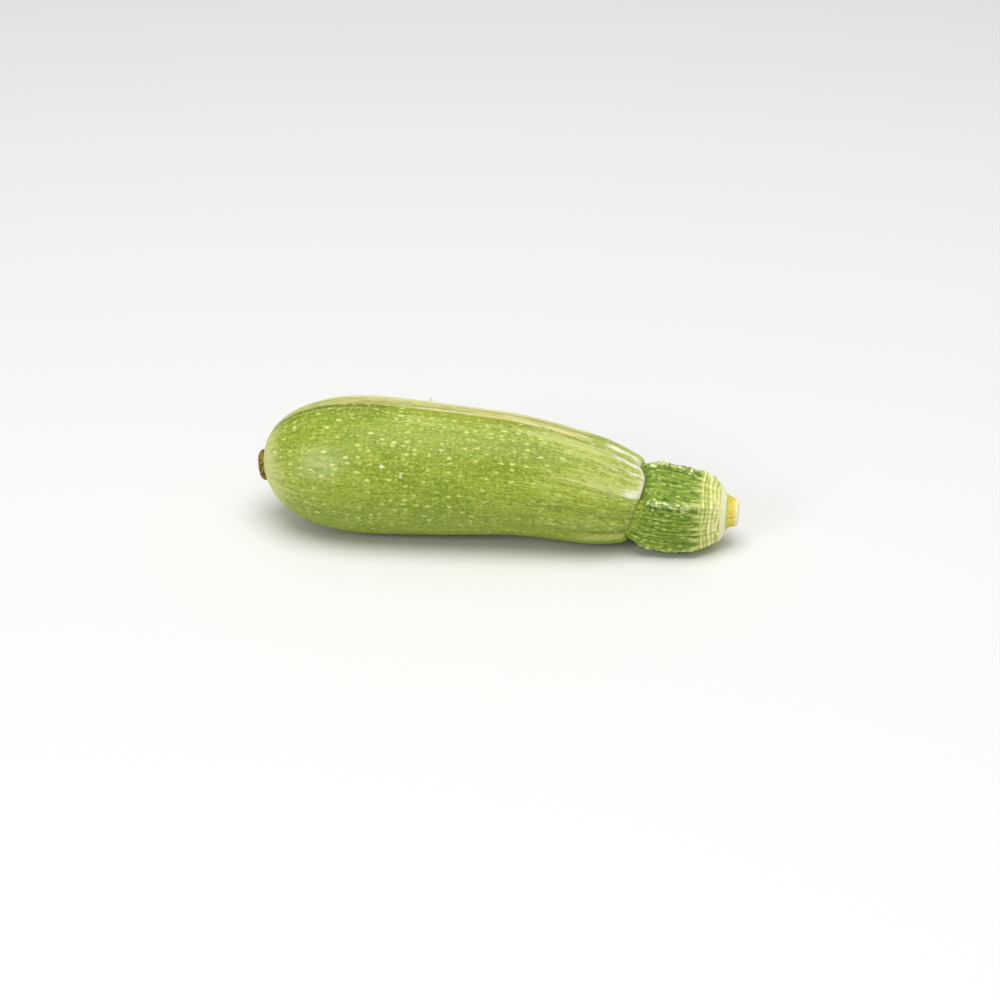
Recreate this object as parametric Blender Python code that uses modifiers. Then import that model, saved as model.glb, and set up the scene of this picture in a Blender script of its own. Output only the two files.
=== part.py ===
"""A pale green vegetable marrow as picked: the fruit, its five-ridged stem and the corky blossom scar.

Units are metres and +Z is up. The marrow lies along X with its stem towards +X. It rests on a small flat spot
under the belly and on the underside of the stem. The origin is the middle of the underside of its box.
Run with: blender --background --python part.py
"""

import math

import bpy
import numpy as np

# Driving dimensions. A station is a distance along X from the fruit's blossom end.
FRUIT_LENGTH = 0.1445
BELLY_STATION = 0.0430
BELLY_RADIUS = 0.0272
STEM_LENGTH = 0.0418
SCAR_RADIUS = 0.0064
SCAR_PROUD = 0.0020
FIT_GAP = 0.0003
FLOOR = 0.0

# The curved axis: it dips at the blossom end, sinks along the neck to the stem, and bows a little towards -Y
AXIS_HEIGHT = 0.0263
TIP_DIP = 0.0036
NECK_START, NECK_END = 0.090, 0.172
NECK_DROP = 0.0111
SIDE_BOW = 0.0015
SLOPE_STEP = 0.0005

# The fruit's outline: a full round blossom end, a slow taper to the neck and a rounded shoulder
DOME_POWER = 2.25
TAPER, TAPER_POWER = 0.0073, 1.25
SHOULDER_LENGTH, SHOULDER_END = 0.0335, 0.1583
TIP_SEAT_RADIUS = 0.0068
DOME_RINGS, BARREL_RINGS, SHOULDER_RINGS = 9, 10, 7

# The stem's outline from its seat to the snapped end: distance from the seat, radius between the ridges
STEM_OUTLINE = (
    (0.0000, 0.0150), (0.0025, 0.0154), (0.0065, 0.0157), (0.0120, 0.0158), (0.0180, 0.0155),
    (0.0235, 0.0149), (0.0280, 0.0140), (0.0315, 0.0127), (0.0340, 0.0110), (0.0357, 0.0088),
    (0.0366, 0.0066), (0.0374, 0.0057), (0.0392, 0.0055), (0.0410, 0.0055), (0.0415, 0.0052),
    (0.0418, 0.0045),
)

# Where the five creases and ridges stand round the axis, in degrees. 0 is towards +Y and 90 is on top.
RIDGES = 5
TIP_ANGLES = (14.0, 95.0, 158.0, 224.0, 300.0)
SEAT_ANGLES = (14.0, 93.0, 152.0, 218.0, 300.0)
STEM_ANGLES = (14.0, 85.0, 150.0, 222.0, 300.0)

# The stem's ridges: how far they rise, as a share of the radius, and where they are grown and fade
RIDGE_RISE, RIDGE_RISE_AT_SEAT = 0.175, 0.07
RIDGE_SHARPNESS = 1.35
RIDGE_GROWN, RIDGE_FADES, RIDGE_GONE = 0.009, 0.024, 0.0365

# The fruit's creases run on from the ridges, with one more along the middle of each lobe. They deepen at the
# neck. A width is a share of the way from ridge to ridge, and a depth a share of the radius.
CREASE_WIDTH = 0.10
CREASE_DEPTH, CREASE_DEPTH_AT_NECK = 0.008, 0.085
MIDDLE_DEPTHS_AT_NECK = (0.040, 0.015, 0.055, 0.040, 0.040)

# The fruit's lobes reach over the stem between the ridges, and the stem's seat follows them
LOBE_REACH, SEAT_DEPTH = 0.0028, 0.0125

# The scar's edge is rounded and faintly notched, and its middle is dished
SCAR_EDGE, SCAR_DISH = 0.0004, 0.0006
SCAR_NOTCHES, NOTCH_DEPTH = 10, 0.035

FRUIT_SIDES, STEM_SIDES, SCAR_SIDES = 84, 84, 40


def clear_scene():
    for old in list(bpy.data.objects):
        bpy.data.objects.remove(old)


def smooth_step(value):
    """0 below 0, 1 above 1 and a smooth S between."""
    share = np.clip(value, 0.0, 1.0)
    return share * share * (3.0 - 2.0 * share)


def axis_height(station):
    """Height of the axis over the floor."""
    dip = TIP_DIP * np.clip(1.0 - station / BELLY_STATION, 0.0, None) ** 2
    drop = NECK_DROP * smooth_step((station - NECK_START) / (NECK_END - NECK_START))
    return AXIS_HEIGHT - dip - drop


def axis_side(station):
    """Sideways place of the axis: one shallow arc, furthest to -Y halfway along."""
    half = (FRUIT_LENGTH + STEM_LENGTH) / 2.0
    return -SIDE_BOW * (1.0 - ((station - half) / half) ** 2)


def about_the_axis(station, radius, angle):
    """Points round the curved axis, in sections square to it."""
    rise = axis_height(station + SLOPE_STEP) - axis_height(station - SLOPE_STEP)
    pitch = np.arctan(rise / (2.0 * SLOPE_STEP))
    outward = radius * np.sin(angle)
    x = station - outward * np.sin(pitch)
    y = axis_side(station) + radius * np.cos(angle)
    z = axis_height(station) + outward * np.cos(pitch)
    return np.column_stack((x, y, z))


def count_ridges(turn, angles):
    """Counts the ridges that stand at these angles: a whole number on each and a half midway between two."""
    around = (angles[-1] - 360.0, *angles, angles[0] + 360.0)
    return np.interp(turn, around, np.arange(-1, RIDGES + 1))


def ridge_count(station, angle):
    """The count at any point, as the ridges wind from the blossom end to the seat and on to the stem."""
    turn = np.degrees(angle) % 360.0
    tip, seat, grown = (count_ridges(turn, angles) for angles in (TIP_ANGLES, SEAT_ANGLES, STEM_ANGLES))
    along_fruit = np.clip(station / FRUIT_LENGTH, 0.0, 1.0)
    on_stem = smooth_step((station - FRUIT_LENGTH) / RIDGE_GROWN)
    return tip + (seat - tip) * along_fruit + (grown - seat) * on_stem


def between_ridges(station, angle):
    """0 on each of the five ridges, 1 halfway between two of them."""
    return np.abs(np.sin(math.pi * ridge_count(station, angle)))


def creases(station, angle):
    """The share of the fruit's radius that its creases take."""
    off_tip = smooth_step(station / BELLY_STATION)
    to_neck = smooth_step((station - BELLY_STATION) / (FRUIT_LENGTH - BELLY_STATION)) ** 3
    count = ridge_count(station, angle)
    lobe = np.floor(count)
    at_ridges = np.exp(-(((count - np.round(count)) / CREASE_WIDTH) ** 2))
    at_middles = np.exp(-(((count - lobe - 0.5) / CREASE_WIDTH) ** 2))
    depth = CREASE_DEPTH * off_tip + (CREASE_DEPTH_AT_NECK - CREASE_DEPTH) * to_neck
    middle_depth = np.array(MIDDLE_DEPTHS_AT_NECK)[lobe.astype(int) % RIDGES] * to_neck
    return depth * at_ridges + middle_depth * at_middles


def dome_stations(count):
    """Stations from the scar's seat to the belly, spaced evenly round the dome's superellipse."""
    seat_turn = math.asin((TIP_SEAT_RADIUS / BELLY_RADIUS) ** (DOME_POWER / 2.0))
    turns = np.linspace(seat_turn, math.pi / 2.0, count)
    return BELLY_STATION * (1.0 - np.cos(turns).clip(0.0) ** (2.0 / DOME_POWER))


def fruit_radius(station):
    """Radius of the plain fruit: superellipse dome, power taper, elliptical shoulder."""
    to_belly = np.clip(1.0 - station / BELLY_STATION, 0.0, 1.0)
    dome = (1.0 - to_belly**DOME_POWER) ** (1.0 / DOME_POWER)
    along = np.clip((station - BELLY_STATION) / (FRUIT_LENGTH - BELLY_STATION), 0.0, None)
    taper = BELLY_RADIUS - TAPER * along**TAPER_POWER
    into_shoulder = np.clip(1.0 - (SHOULDER_END - station) / SHOULDER_LENGTH, 0.0, 1.0)
    return taper * dome * np.sqrt(1.0 - into_shoulder**2)


def lobe_reach(station, radius, angle):
    """How far the lobes reach over the stem: nothing on the ridges or at the axis, most at the seat's rim."""
    to_rim = np.clip(radius / fruit_radius(FRUIT_LENGTH), 0.0, 1.0)
    return LOBE_REACH * between_ridges(station, angle) * to_rim**2


def turned(name, outline, sides):
    """A closed mesh object: (station, radius) points, stem end first, turned about Z with a Screw."""
    line = bpy.data.meshes.new(name)
    points = [(radius, 0.0, station) for station, radius in outline]
    line.from_pydata(points, [(i, i + 1) for i in range(len(points) - 1)], [])
    piece = bpy.data.objects.new(name, line)
    bpy.data.collections["marrow"].objects.link(piece)
    screw = piece.modifiers.new("turn", "SCREW")
    screw.axis = "Z"
    screw.steps = screw.render_steps = sides
    screw.use_merge_vertices = True
    screw.merge_threshold = 0.00005
    bpy.context.view_layer.update()
    graph = bpy.context.evaluated_depsgraph_get()
    piece.data = bpy.data.meshes.new_from_object(piece.evaluated_get(graph))
    piece.modifiers.clear()
    return piece


def reshape(piece, form):
    """Gives a turned piece its form, lays it along the curved axis and flattens what would pass the floor."""
    count = len(piece.data.vertices)
    points = np.empty(count * 3)
    piece.data.vertices.foreach_get("co", points)
    across, up, station = points.reshape(-1, 3).T
    angle = np.arctan2(up, across)
    station, radius = form(station, np.hypot(across, up), angle)
    placed = about_the_axis(station, radius, angle)
    placed[:, 2] = np.maximum(placed[:, 2], FLOOR)
    piece.data.vertices.foreach_set("co", placed.ravel())
    piece.data.update()


def finish(piece, base_color, roughness):
    """Gives a piece its material and smooth shading."""
    material = bpy.data.materials.new(piece.name)
    material.use_nodes = True
    skin = material.node_tree.nodes["Principled BSDF"]
    skin.inputs["Base Color"].default_value = (*base_color, 1.0)
    skin.inputs["Roughness"].default_value = roughness
    skin.inputs["Metallic"].default_value = 0.0
    piece.data.materials.append(material)
    piece.data.shade_smooth()
    piece.data.set_sharp_from_angle(angle=math.radians(50.0))


def fruit():
    """The fruit: smooth at the belly, creased towards the neck, with five lobes that reach round the stem."""
    shoulder_start = SHOULDER_END - SHOULDER_LENGTH
    barrel = np.linspace(BELLY_STATION, shoulder_start, BARREL_RINGS)
    shoulder = np.linspace(shoulder_start, FRUIT_LENGTH, SHOULDER_RINGS)
    stations = np.concatenate((dome_stations(DOME_RINGS), barrel[1:], shoulder[1:]))
    skin = [(station, fruit_radius(station)) for station in stations]
    seat = [(FRUIT_LENGTH, skin[-1][1] * share) for share in (0.0, 0.35, 0.7)]
    tip = [(stations[0], TIP_SEAT_RADIUS * share) for share in (0.5, 0.0)]

    def form(station, radius, angle):
        near_seat = smooth_step(1.0 - (FRUIT_LENGTH - station) / SHOULDER_LENGTH)
        reach = near_seat * lobe_reach(station, radius, angle)
        return station + reach, radius * (1.0 - creases(station, angle))

    piece = turned("fruit", seat + skin[::-1] + tip, FRUIT_SIDES)
    reshape(piece, form)
    finish(piece, (0.36, 0.50, 0.10), 0.42)
    return piece


def stem():
    """The stem: five sharp ridges that fade into the blunt end, and the short round stub where it snapped."""
    foot = FRUIT_LENGTH + FIT_GAP
    end = FRUIT_LENGTH + STEM_LENGTH
    foot_radius, end_radius = STEM_OUTLINE[0][1], STEM_OUTLINE[-1][1]
    skin = [(max(foot, FRUIT_LENGTH + distance), radius) for distance, radius in STEM_OUTLINE]
    underside = [(foot, foot_radius * share) for share in (0.7, 0.35, 0.0)]
    snapped_face = [(end, end_radius * share) for share in (0.0, 0.5)]

    def form(station, radius, angle):
        distance = station - FRUIT_LENGTH
        grown = smooth_step(distance / RIDGE_GROWN)
        gone = smooth_step((distance - RIDGE_FADES) / (RIDGE_GONE - RIDGE_FADES))
        rise = (RIDGE_RISE_AT_SEAT + (RIDGE_RISE - RIDGE_RISE_AT_SEAT) * grown) * (1.0 - gone)
        ridge = rise * (1.0 - between_ridges(station, angle)) ** RIDGE_SHARPNESS
        near_seat = 1.0 - smooth_step(distance / SEAT_DEPTH)
        return station + near_seat * lobe_reach(station, radius, angle), radius * (1.0 + ridge)

    piece = turned("stem", snapped_face + skin[::-1] + underside, STEM_SIDES)
    reshape(piece, form)
    finish(piece, (0.13, 0.29, 0.04), 0.60)
    return piece


def blossom_scar():
    """The scar: a low corky button with a rounded, faintly notched edge and a dished middle."""
    back = dome_stations(DOME_RINGS)[0] - FIT_GAP
    face = -SCAR_PROUD
    outline = [
        (back, 0.0), (back, 0.5 * SCAR_RADIUS), (back, 0.94 * SCAR_RADIUS),
        (0.5 * (back + face), SCAR_RADIUS), (face + SCAR_EDGE, 0.95 * SCAR_RADIUS),
        (face, 0.82 * SCAR_RADIUS), (face + 0.4 * SCAR_DISH, 0.5 * SCAR_RADIUS), (face + SCAR_DISH, 0.0),
    ]

    def form(station, radius, angle):
        notch = NOTCH_DEPTH * (radius / SCAR_RADIUS) ** 3 * np.abs(np.cos(SCAR_NOTCHES / 2.0 * angle))
        return station, radius * (1.0 - notch)

    piece = turned("blossom_scar", outline, SCAR_SIDES)
    reshape(piece, form)
    finish(piece, (0.42, 0.25, 0.08), 0.85)
    return piece


def centre_on_origin(pieces):
    """Hangs the pieces on one empty that puts the middle of their box over the origin."""
    corners = np.array([corner for piece in pieces for corner in piece.bound_box])
    middle = (corners.min(axis=0) + corners.max(axis=0)) / 2.0
    anchor = bpy.data.objects.new("marrow", None)
    anchor.location = (-middle[0], -middle[1], FLOOR)
    bpy.data.collections["marrow"].objects.link(anchor)
    for piece in pieces:
        piece.parent = anchor


clear_scene()
marrow = bpy.data.collections.new("marrow")
bpy.context.scene.collection.children.link(marrow)
centre_on_origin([fruit(), stem(), blossom_scar()])
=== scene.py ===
import math

import bpy
import numpy as np
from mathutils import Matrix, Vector


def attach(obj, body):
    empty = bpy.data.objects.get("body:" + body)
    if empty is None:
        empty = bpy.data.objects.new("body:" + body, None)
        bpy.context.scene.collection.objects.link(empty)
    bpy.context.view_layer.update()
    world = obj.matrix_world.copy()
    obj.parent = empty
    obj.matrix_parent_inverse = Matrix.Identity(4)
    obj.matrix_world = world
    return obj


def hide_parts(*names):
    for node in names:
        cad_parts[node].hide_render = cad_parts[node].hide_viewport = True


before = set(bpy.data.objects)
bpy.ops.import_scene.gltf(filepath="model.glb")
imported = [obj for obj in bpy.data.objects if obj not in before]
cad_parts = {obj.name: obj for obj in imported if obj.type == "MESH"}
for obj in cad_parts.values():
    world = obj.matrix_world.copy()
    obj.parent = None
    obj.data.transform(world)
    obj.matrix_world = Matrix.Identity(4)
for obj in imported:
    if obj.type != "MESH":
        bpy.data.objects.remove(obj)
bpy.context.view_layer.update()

# A pale green vegetable marrow as picked, lying on its side. Metres, +Z up, blossom end towards -X and stem
# towards +X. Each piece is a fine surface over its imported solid, worked out from the same outline.


# Fruit. Skin and flesh grow as one body: a round blossom end, a long taper and a creased neck whose five lobes
# close round the stem. Its waxy skin is pale green, flecked and finely streaked from end to end.

# A station is a distance along X from the blossom end. TIP_X and TIP_Y are where station 0 stands in the frame.
FRUIT_LENGTH = 0.1445
BELLY_STATION = 0.0430
BELLY_RADIUS = 0.0272
TIP_X, TIP_Y = -0.0916972, 0.001068
AXIS_HEIGHT, TIP_DIP, SIDE_BOW = 0.0263, 0.0036, 0.0015
NECK_START, NECK_END, NECK_DROP = 0.090, 0.172, 0.0111
STEM_LENGTH = 0.0418
SLOPE_STEP, FLOOR_ROUNDING = 0.0005, 0.00012
DOME_POWER = 2.25
TAPER, TAPER_POWER = 0.0073, 1.25
SHOULDER_LENGTH, SHOULDER_END = 0.0335, 0.1583
TIP_SEAT_RADIUS = 0.0068
RIM_SWELL = 0.00045

# How far each lobe reaches over the stem in its middle, and in the notch over each ridge
LOBE_REACHES = (0.0028, 0.0041, 0.0020, 0.0028, 0.0028)
NOTCH_REACHES = (0.0, 0.0003, 0.0033, 0.0, 0.0)

# Where the five creases and ridges stand round the axis, in degrees. 0 is towards +Y and 90 is on top.
RIDGES = 5
TIP_ANGLES = (14.0, 98.0, 158.0, 224.0, 300.0)
SEAT_ANGLES = (14.0, 93.0, 152.0, 206.0, 300.0)
STEM_ANGLES = (14.0, 85.0, 150.0, 222.0, 300.0)
RIDGE_SETTLES = 0.009
CREASE_WIDTH = 0.085
CREASE_DEPTH = 0.008
RIDGE_DEPTHS_AT_NECK = (0.080, 0.085, 0.034, 0.105, 0.080)
MIDDLE_DEPTHS_AT_NECK = (0.040, 0.018, 0.050, 0.040, 0.040)

# The lip is where a lobe turns in over its edge to meet the stem. LOW_LOBE is the ridge count of the lower front
# lobe, from side to side, and LOBE_EDGE how softly it ends there.
LIP_LENGTH, LIP_DROP = 0.0022, 0.0013
LOW_LOBE, LOBE_EDGE = (2.08, 2.98), 0.16
FRUIT_SIDES, SKIN_RINGS, LIP_RINGS, DISC_RINGS = 288, 292, 12, 7


def smooth_step(value):
    """0 below 0, 1 above 1 and a smooth S between: 3 v squared less 2 v cubed."""
    share = np.clip(value, 0.0, 1.0)
    return share * share * (3.0 - 2.0 * share)


def band(value, start, end, soft):
    """1 from start to end, fading to 0 over a width of soft on either side."""
    return smooth_step((value - start) / soft + 0.5) * smooth_step((end - value) / soft + 0.5)


def bell(value, width):
    """A bell curve: e to the power of minus the square of value over width."""
    return np.exp(-((value / width) ** 2))


def axis_height(station):
    """Height of the axis: it dips with the square of the way to the tip and sinks in an S along the neck."""
    dip = TIP_DIP * np.clip(1.0 - station / BELLY_STATION, 0.0, None) ** 2
    drop = NECK_DROP * smooth_step((station - NECK_START) / (NECK_END - NECK_START))
    return AXIS_HEIGHT - dip - drop


def about_the_axis(station, radius, angle):
    """Points at a radius and angle round the axis, in sections turned square to its slope. Low ones are eased on
    to the floor: the height becomes w ln(1 + e to the power of height / w), where w is FLOOR_ROUNDING."""
    slope = (axis_height(station + SLOPE_STEP) - axis_height(station - SLOPE_STEP)) / (2.0 * SLOPE_STEP)
    pitch = np.arctan(slope)
    half = (FRUIT_LENGTH + STEM_LENGTH) / 2.0
    aside = -SIDE_BOW * (1.0 - ((station - half) / half) ** 2)
    x = TIP_X + station - radius * np.sin(angle) * np.sin(pitch)
    y = TIP_Y + aside + radius * np.cos(angle)
    z = axis_height(station) + radius * np.sin(angle) * np.cos(pitch)
    z = FLOOR_ROUNDING * np.logaddexp(0.0, z / FLOOR_ROUNDING)
    return np.stack((x, y, z), axis=-1)


def ridge_count(station, angle):
    """Counts the ridges round the axis: a whole number on each, a half midway. They wind from tip to stem."""
    turn = np.degrees(angle) % 360.0
    counts = []
    for angles in (TIP_ANGLES, SEAT_ANGLES, STEM_ANGLES):
        around = (angles[-1] - 360.0, *angles, angles[0] + 360.0)
        counts.append(np.interp(turn, around, np.arange(-1, RIDGES + 1)))
    tip, seat, grown = counts
    on_stem = smooth_step((station - FRUIT_LENGTH) / RIDGE_SETTLES)
    return tip + (seat - tip) * np.clip(station / FRUIT_LENGTH, 0.0, 1.0) + (grown - seat) * on_stem


def fruit_radius(station):
    """Superellipse dome times a power taper times an elliptical shoulder."""
    to_belly = np.clip(1.0 - station / BELLY_STATION, 0.0, 1.0)
    dome = (1.0 - to_belly**DOME_POWER) ** (1.0 / DOME_POWER)
    along = np.clip((station - BELLY_STATION) / (FRUIT_LENGTH - BELLY_STATION), 0.0, None)
    taper = BELLY_RADIUS - TAPER * along**TAPER_POWER
    into_shoulder = np.clip(1.0 - (SHOULDER_END - station) / SHOULDER_LENGTH, 0.0, 1.0)
    return taper * dome * np.sqrt(1.0 - into_shoulder**2)


def lobe_reach(station, radius, angle):
    """How far the lobes reach over the stem: from a notch's reach to a lobe's with the sine between ridges,
    times the square of the way to the rim."""
    count = ridge_count(station, angle)
    between = np.abs(np.sin(math.pi * count))
    in_notch = np.array(NOTCH_REACHES)[np.round(count).astype(int) % RIDGES]
    in_lobe = np.array(LOBE_REACHES)[np.floor(count).astype(int) % RIDGES]
    to_rim = np.clip(radius / fruit_radius(FRUIT_LENGTH), 0.0, 1.0)
    return (in_notch + (in_lobe - in_notch) * between) * to_rim**2


def ripples(along, angle, seed, turns, pitch):
    """Sum of 32 cosine waves of about unit spread. Each goes round a whole number of times within turns, and
    repeats along the piece no more often than pitch, so the field has no seam."""
    waves = 32
    rng = np.random.default_rng(seed)
    around = rng.integers(turns[0], turns[1] + 1, waves)
    onward = rng.uniform(-1.0, 1.0, waves) * 2.0 * math.pi / pitch
    start = rng.uniform(0.0, 2.0 * math.pi, waves)
    first = np.exp(1j * (np.multiply.outer(along.ravel(), onward) + start))
    second = np.exp(1j * np.multiply.outer(angle.ravel(), around))
    return (first @ second.T).real / math.sqrt(waves / 2.0)


def way_along(station, radius):
    """The length of the profile up to each of its points."""
    return np.concatenate(([0.0], np.cumsum(np.hypot(np.diff(station), np.diff(radius)))))


def even_rings(station, radius, count):
    """Stations and radii read off a dense profile at even steps of its length."""
    length = way_along(station, radius)
    steps = np.linspace(0.0, length[-1], count)
    return np.interp(steps, length, station), np.interp(steps, length, radius)


def closed_skin(name, points, **marks):
    """A closed mesh over a grid of rings by sides, whose first and last rings shrink to one point each. marks
    are (rings, sides, 3) fields, kept as attributes of the mesh."""
    rings, sides = points.shape[:2]

    def listed(grid):
        return np.concatenate((grid[:1, 0], grid[1:-1].reshape(-1, 3), grid[-1:, 0]))

    side = np.arange(sides)
    onward = (side + 1) % sides
    row = 1 + sides * np.arange(rings - 3)[:, None]
    quads = np.stack((row + side, row + onward, row + sides + onward, row + sides + side), axis=-1)
    last = 1 + sides * (rings - 3)
    end = last + sides
    first_fan = np.stack((np.zeros_like(side), 1 + onward, 1 + side), axis=-1)
    last_fan = np.stack((last + side, last + onward, np.full_like(side, end)), axis=-1)
    faces = quads.reshape(-1, 4).tolist() + first_fan.tolist() + last_fan.tolist()
    mesh = bpy.data.meshes.new(name)
    mesh.from_pydata(listed(points).tolist(), [], faces)
    for mark, values in marks.items():
        stored = mesh.attributes.new(mark, "FLOAT_VECTOR", "POINT")
        stored.data.foreach_set("vector", listed(values).astype(np.float32).ravel())
    mesh.shade_smooth()
    piece = bpy.data.objects.new(name, mesh)
    bpy.context.scene.collection.objects.link(piece)
    return piece


# Profile of the skin: the dome from the scar's seat, the body, the lip turned in over the stem, and flat ends
seat_turn = math.asin((TIP_SEAT_RADIUS / BELLY_RADIUS) ** (DOME_POWER / 2.0))
turns = np.linspace(seat_turn, math.pi / 2.0, 900)
dome_stations = BELLY_STATION * (1.0 - np.cos(turns).clip(0.0) ** (2.0 / DOME_POWER))
body_stations = np.linspace(BELLY_STATION, FRUIT_LENGTH - LIP_LENGTH, 1500)[1:]
skin_stations = np.concatenate((dome_stations, body_stations))
skin_stations, skin_radii = even_rings(skin_stations, fruit_radius(skin_stations), SKIN_RINGS)
over_lip = np.sin(np.linspace(0.0, math.pi / 2.0, LIP_RINGS))[1:]
lip_stations = FRUIT_LENGTH - LIP_LENGTH + LIP_LENGTH * over_lip
lip_radii = fruit_radius(lip_stations) - LIP_DROP * (1.0 - np.sqrt(1.0 - over_lip**2))
inward = np.linspace(1.0, 0.0, DISC_RINGS)[1:]
tip_station = skin_stations[0]
station = np.concatenate((np.full(inward.shape, tip_station), skin_stations, lip_stations,
                          np.full(inward.shape, FRUIT_LENGTH)))
radius = np.concatenate((TIP_SEAT_RADIUS * inward[::-1], skin_radii, lip_radii, lip_radii[-1] * inward))
path = way_along(station, radius)
angle = np.linspace(0.0, 2.0 * math.pi, FRUIT_SIDES, endpoint=False)

s, r, a = station[:, None], radius[:, None], angle[None, :]
count = ridge_count(s, a)
nearest = np.round(count).astype(int) % RIDGES
lobe = np.floor(count).astype(int) % RIDGES
from_ridge = count - np.round(count)
from_middle = count - np.floor(count) - 0.5
to_neck = smooth_step((s - BELLY_STATION) / (FRUIT_LENGTH - BELLY_STATION)) ** 3
on_skin = smooth_step(s / 0.006)

# Creases as shares of the radius, then shallow swellings, fine flutes, the pleats round the blossom scar, and the
# thick rim of the upper lobes
SWELLING, FLUTE, PLEAT = 0.00016, 0.00005, 0.00022
at_neck = np.array(RIDGE_DEPTHS_AT_NECK)[nearest]
crease_depth = CREASE_DEPTH * smooth_step(s / BELLY_STATION) + (at_neck - CREASE_DEPTH) * to_neck
middle_depth = np.array(MIDDLE_DEPTHS_AT_NECK)[lobe] * to_neck
creases = crease_depth * bell(from_ridge, CREASE_WIDTH) + middle_depth * bell(from_middle, CREASE_WIDTH)
swellings = SWELLING * (np.tanh(ripples(station, angle, 3, (1, 5), 0.060)) - 1.0) * on_skin
flutes = FLUTE * (ripples(station, angle, 8, (16, 44), 0.120) - 1.0)
flutes *= (0.25 + 0.75 * smooth_step((s - 0.095) / 0.04))
pleats = -PLEAT * bell(s - tip_station, 0.0045) * (1.0 + ripples(station, angle, 5, (12, 26), 0.5))
thick_rim = RIM_SWELL * bell(s - FRUIT_LENGTH + 0.0026, 0.0022) * band(count, 0.1, 2.0, 0.2)
relief = swellings + flutes + pleats + thick_rim
r_formed = r * (1.0 - creases) + relief * np.clip(r / TIP_SEAT_RADIUS, 0.0, 1.0)

# The lower front lobe hardly turns in: most of its lip's drop is given back
turned_in = (fruit_radius(s) - r) * (s > FRUIT_LENGTH - LIP_LENGTH) * band(count, *LOW_LOBE, LOBE_EDGE)
given_back = 0.9 * np.clip(turned_in, 0.0, LIP_DROP)
r_formed += given_back * smooth_step((r / lip_radii[-1] - 0.9) / 0.1)
rim_radii = r_formed[-DISC_RINGS]
near_seat = smooth_step(1.0 - (FRUIT_LENGTH - s) / SHOULDER_LENGTH)
fruit_points = about_the_axis(s + near_seat * lobe_reach(s, r, a), r_formed, a)

# What the fields below say: a station places a mark along the fruit and a ridge count places it round it. A band
# runs from one value to another with a soft edge, and a bell lies round one value.

# Where the skin is pale: the strip behind the top crease, the neck, the lobes' rims and the blossom end. On the
# neck and rims it is palest on the upper lobes, which is partly painted light from above.
rim = smooth_step((s - 0.1385) / 0.006)
strip = smooth_step((count - 0.52) / 0.10) * smooth_step((0.985 - count) / 0.06)
strip *= smooth_step((s - 0.001) / 0.010) * smooth_step((0.137 - s) / 0.030)
upper_lobes = band(count, 0.30, 1.97, 0.12)
neck = upper_lobes * smooth_step((s - 0.090) / 0.050)
low_neck = band(count, 1.85, 2.95, 0.35) * smooth_step((s - 0.084) / 0.030)
beside_strip = band(count, 0.96, 1.38, 0.40) * band(s, 0.046, 0.128, 0.03)
tip_glow = 1.0 - smooth_step((s - tip_station) / 0.0180)
low_front = bell(s - 0.022, 0.014) * band(count, 1.95, 2.75, 0.40)
pale = 0.51 * neck + 0.30 * rim * upper_lobes + 0.85 * tip_glow + 0.42 * beside_strip
pale = np.clip(pale + 0.30 * low_front + 0.34 * low_neck, 0.0, 1.0)

# Waxy white mixed with painted highlight: beside the top crease, along the front lobe's upper edge, its rim and
# its lower corner
broken_up = np.tanh(ripples(path, angle, 11, (6, 60), 0.012))
front_lobe = bell(count - 1.21, 0.060) * smooth_step((s - 0.120) / 0.018)
shoulder = band(count, 0.86, 1.62, 0.30) * smooth_step((s - 0.116) / 0.022)
front_rim = bell(s - FRUIT_LENGTH + 0.0012, 0.0009) * band(count, 1.05, 1.90, 0.1)
corner = bell(count - 1.88, 0.100) * bell(s - 0.1412, 0.0052)
behind_crease = bell(count - 0.90, 0.032) * smooth_step((s - 0.116) / 0.02)
white = 0.36 * front_lobe + 0.85 * front_rim + 0.98 * corner + 0.36 * behind_crease + 0.36 * shoulder
white = white * (0.85 + 0.45 * broken_up) + 0.15 * bell(s - tip_station, 0.0022)

# How strong the olive lines are: the double one under the strip, and those in the creases of the neck, which are
# partly painted shade in the creases, strongest in the lowest
top_line = 0.95 * band(s, 0.004, 0.050, 0.008) + 0.75 * band(s, 0.070, 0.096, 0.010)
line_starts = np.array((0.106, 0.106, 0.106, 0.120, 0.106))[nearest]
line_strengths = np.array((1.0, 1.0, 0.30, 1.7, 1.0))[nearest]
neck_line = smooth_step((s - line_starts) / 0.03) * line_strengths
# Greener on the lower front lobe's rim, and darker green over the underside, which is painted shade
greener_and_shaded = 0.8 * band(count, 2.06, 3.02, 0.08) * smooth_step((s - 0.1390) / 0.006)
greener_and_shaded += 0.25 * band(count, 2.6, 4.3, 0.5)

# A painted sheen, a soft whitish highlight on the front near the blossom end, pale edges under the lowest crease,
# and a pale ring round the scar
painted_sheen = bell(s - 0.0270, 0.0094) * bell(count - 1.93, 0.20) * (0.85 + 0.3 * broken_up)
low_edge = bell(count - 3.10, 0.045) * smooth_step((s - 0.122) / 0.014)
scar_ring = 1.0 - smooth_step((s - tip_station - 0.001) / 0.004)

# Flecks are strongest on the front of the belly, and fade towards the neck and the underside
vigour = 1.0 - 0.24 * smooth_step((s - 0.084) / 0.045) - 0.22 * band(count, 2.20, 4.4, 0.4)


def three(*fields):
    """Three fields side by side, each spread over the whole grid of s and a, and cut off below 0."""
    return np.clip(np.stack(np.broadcast_arrays(*fields, s + a)[:-1], axis=-1), 0.0, None)


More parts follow.
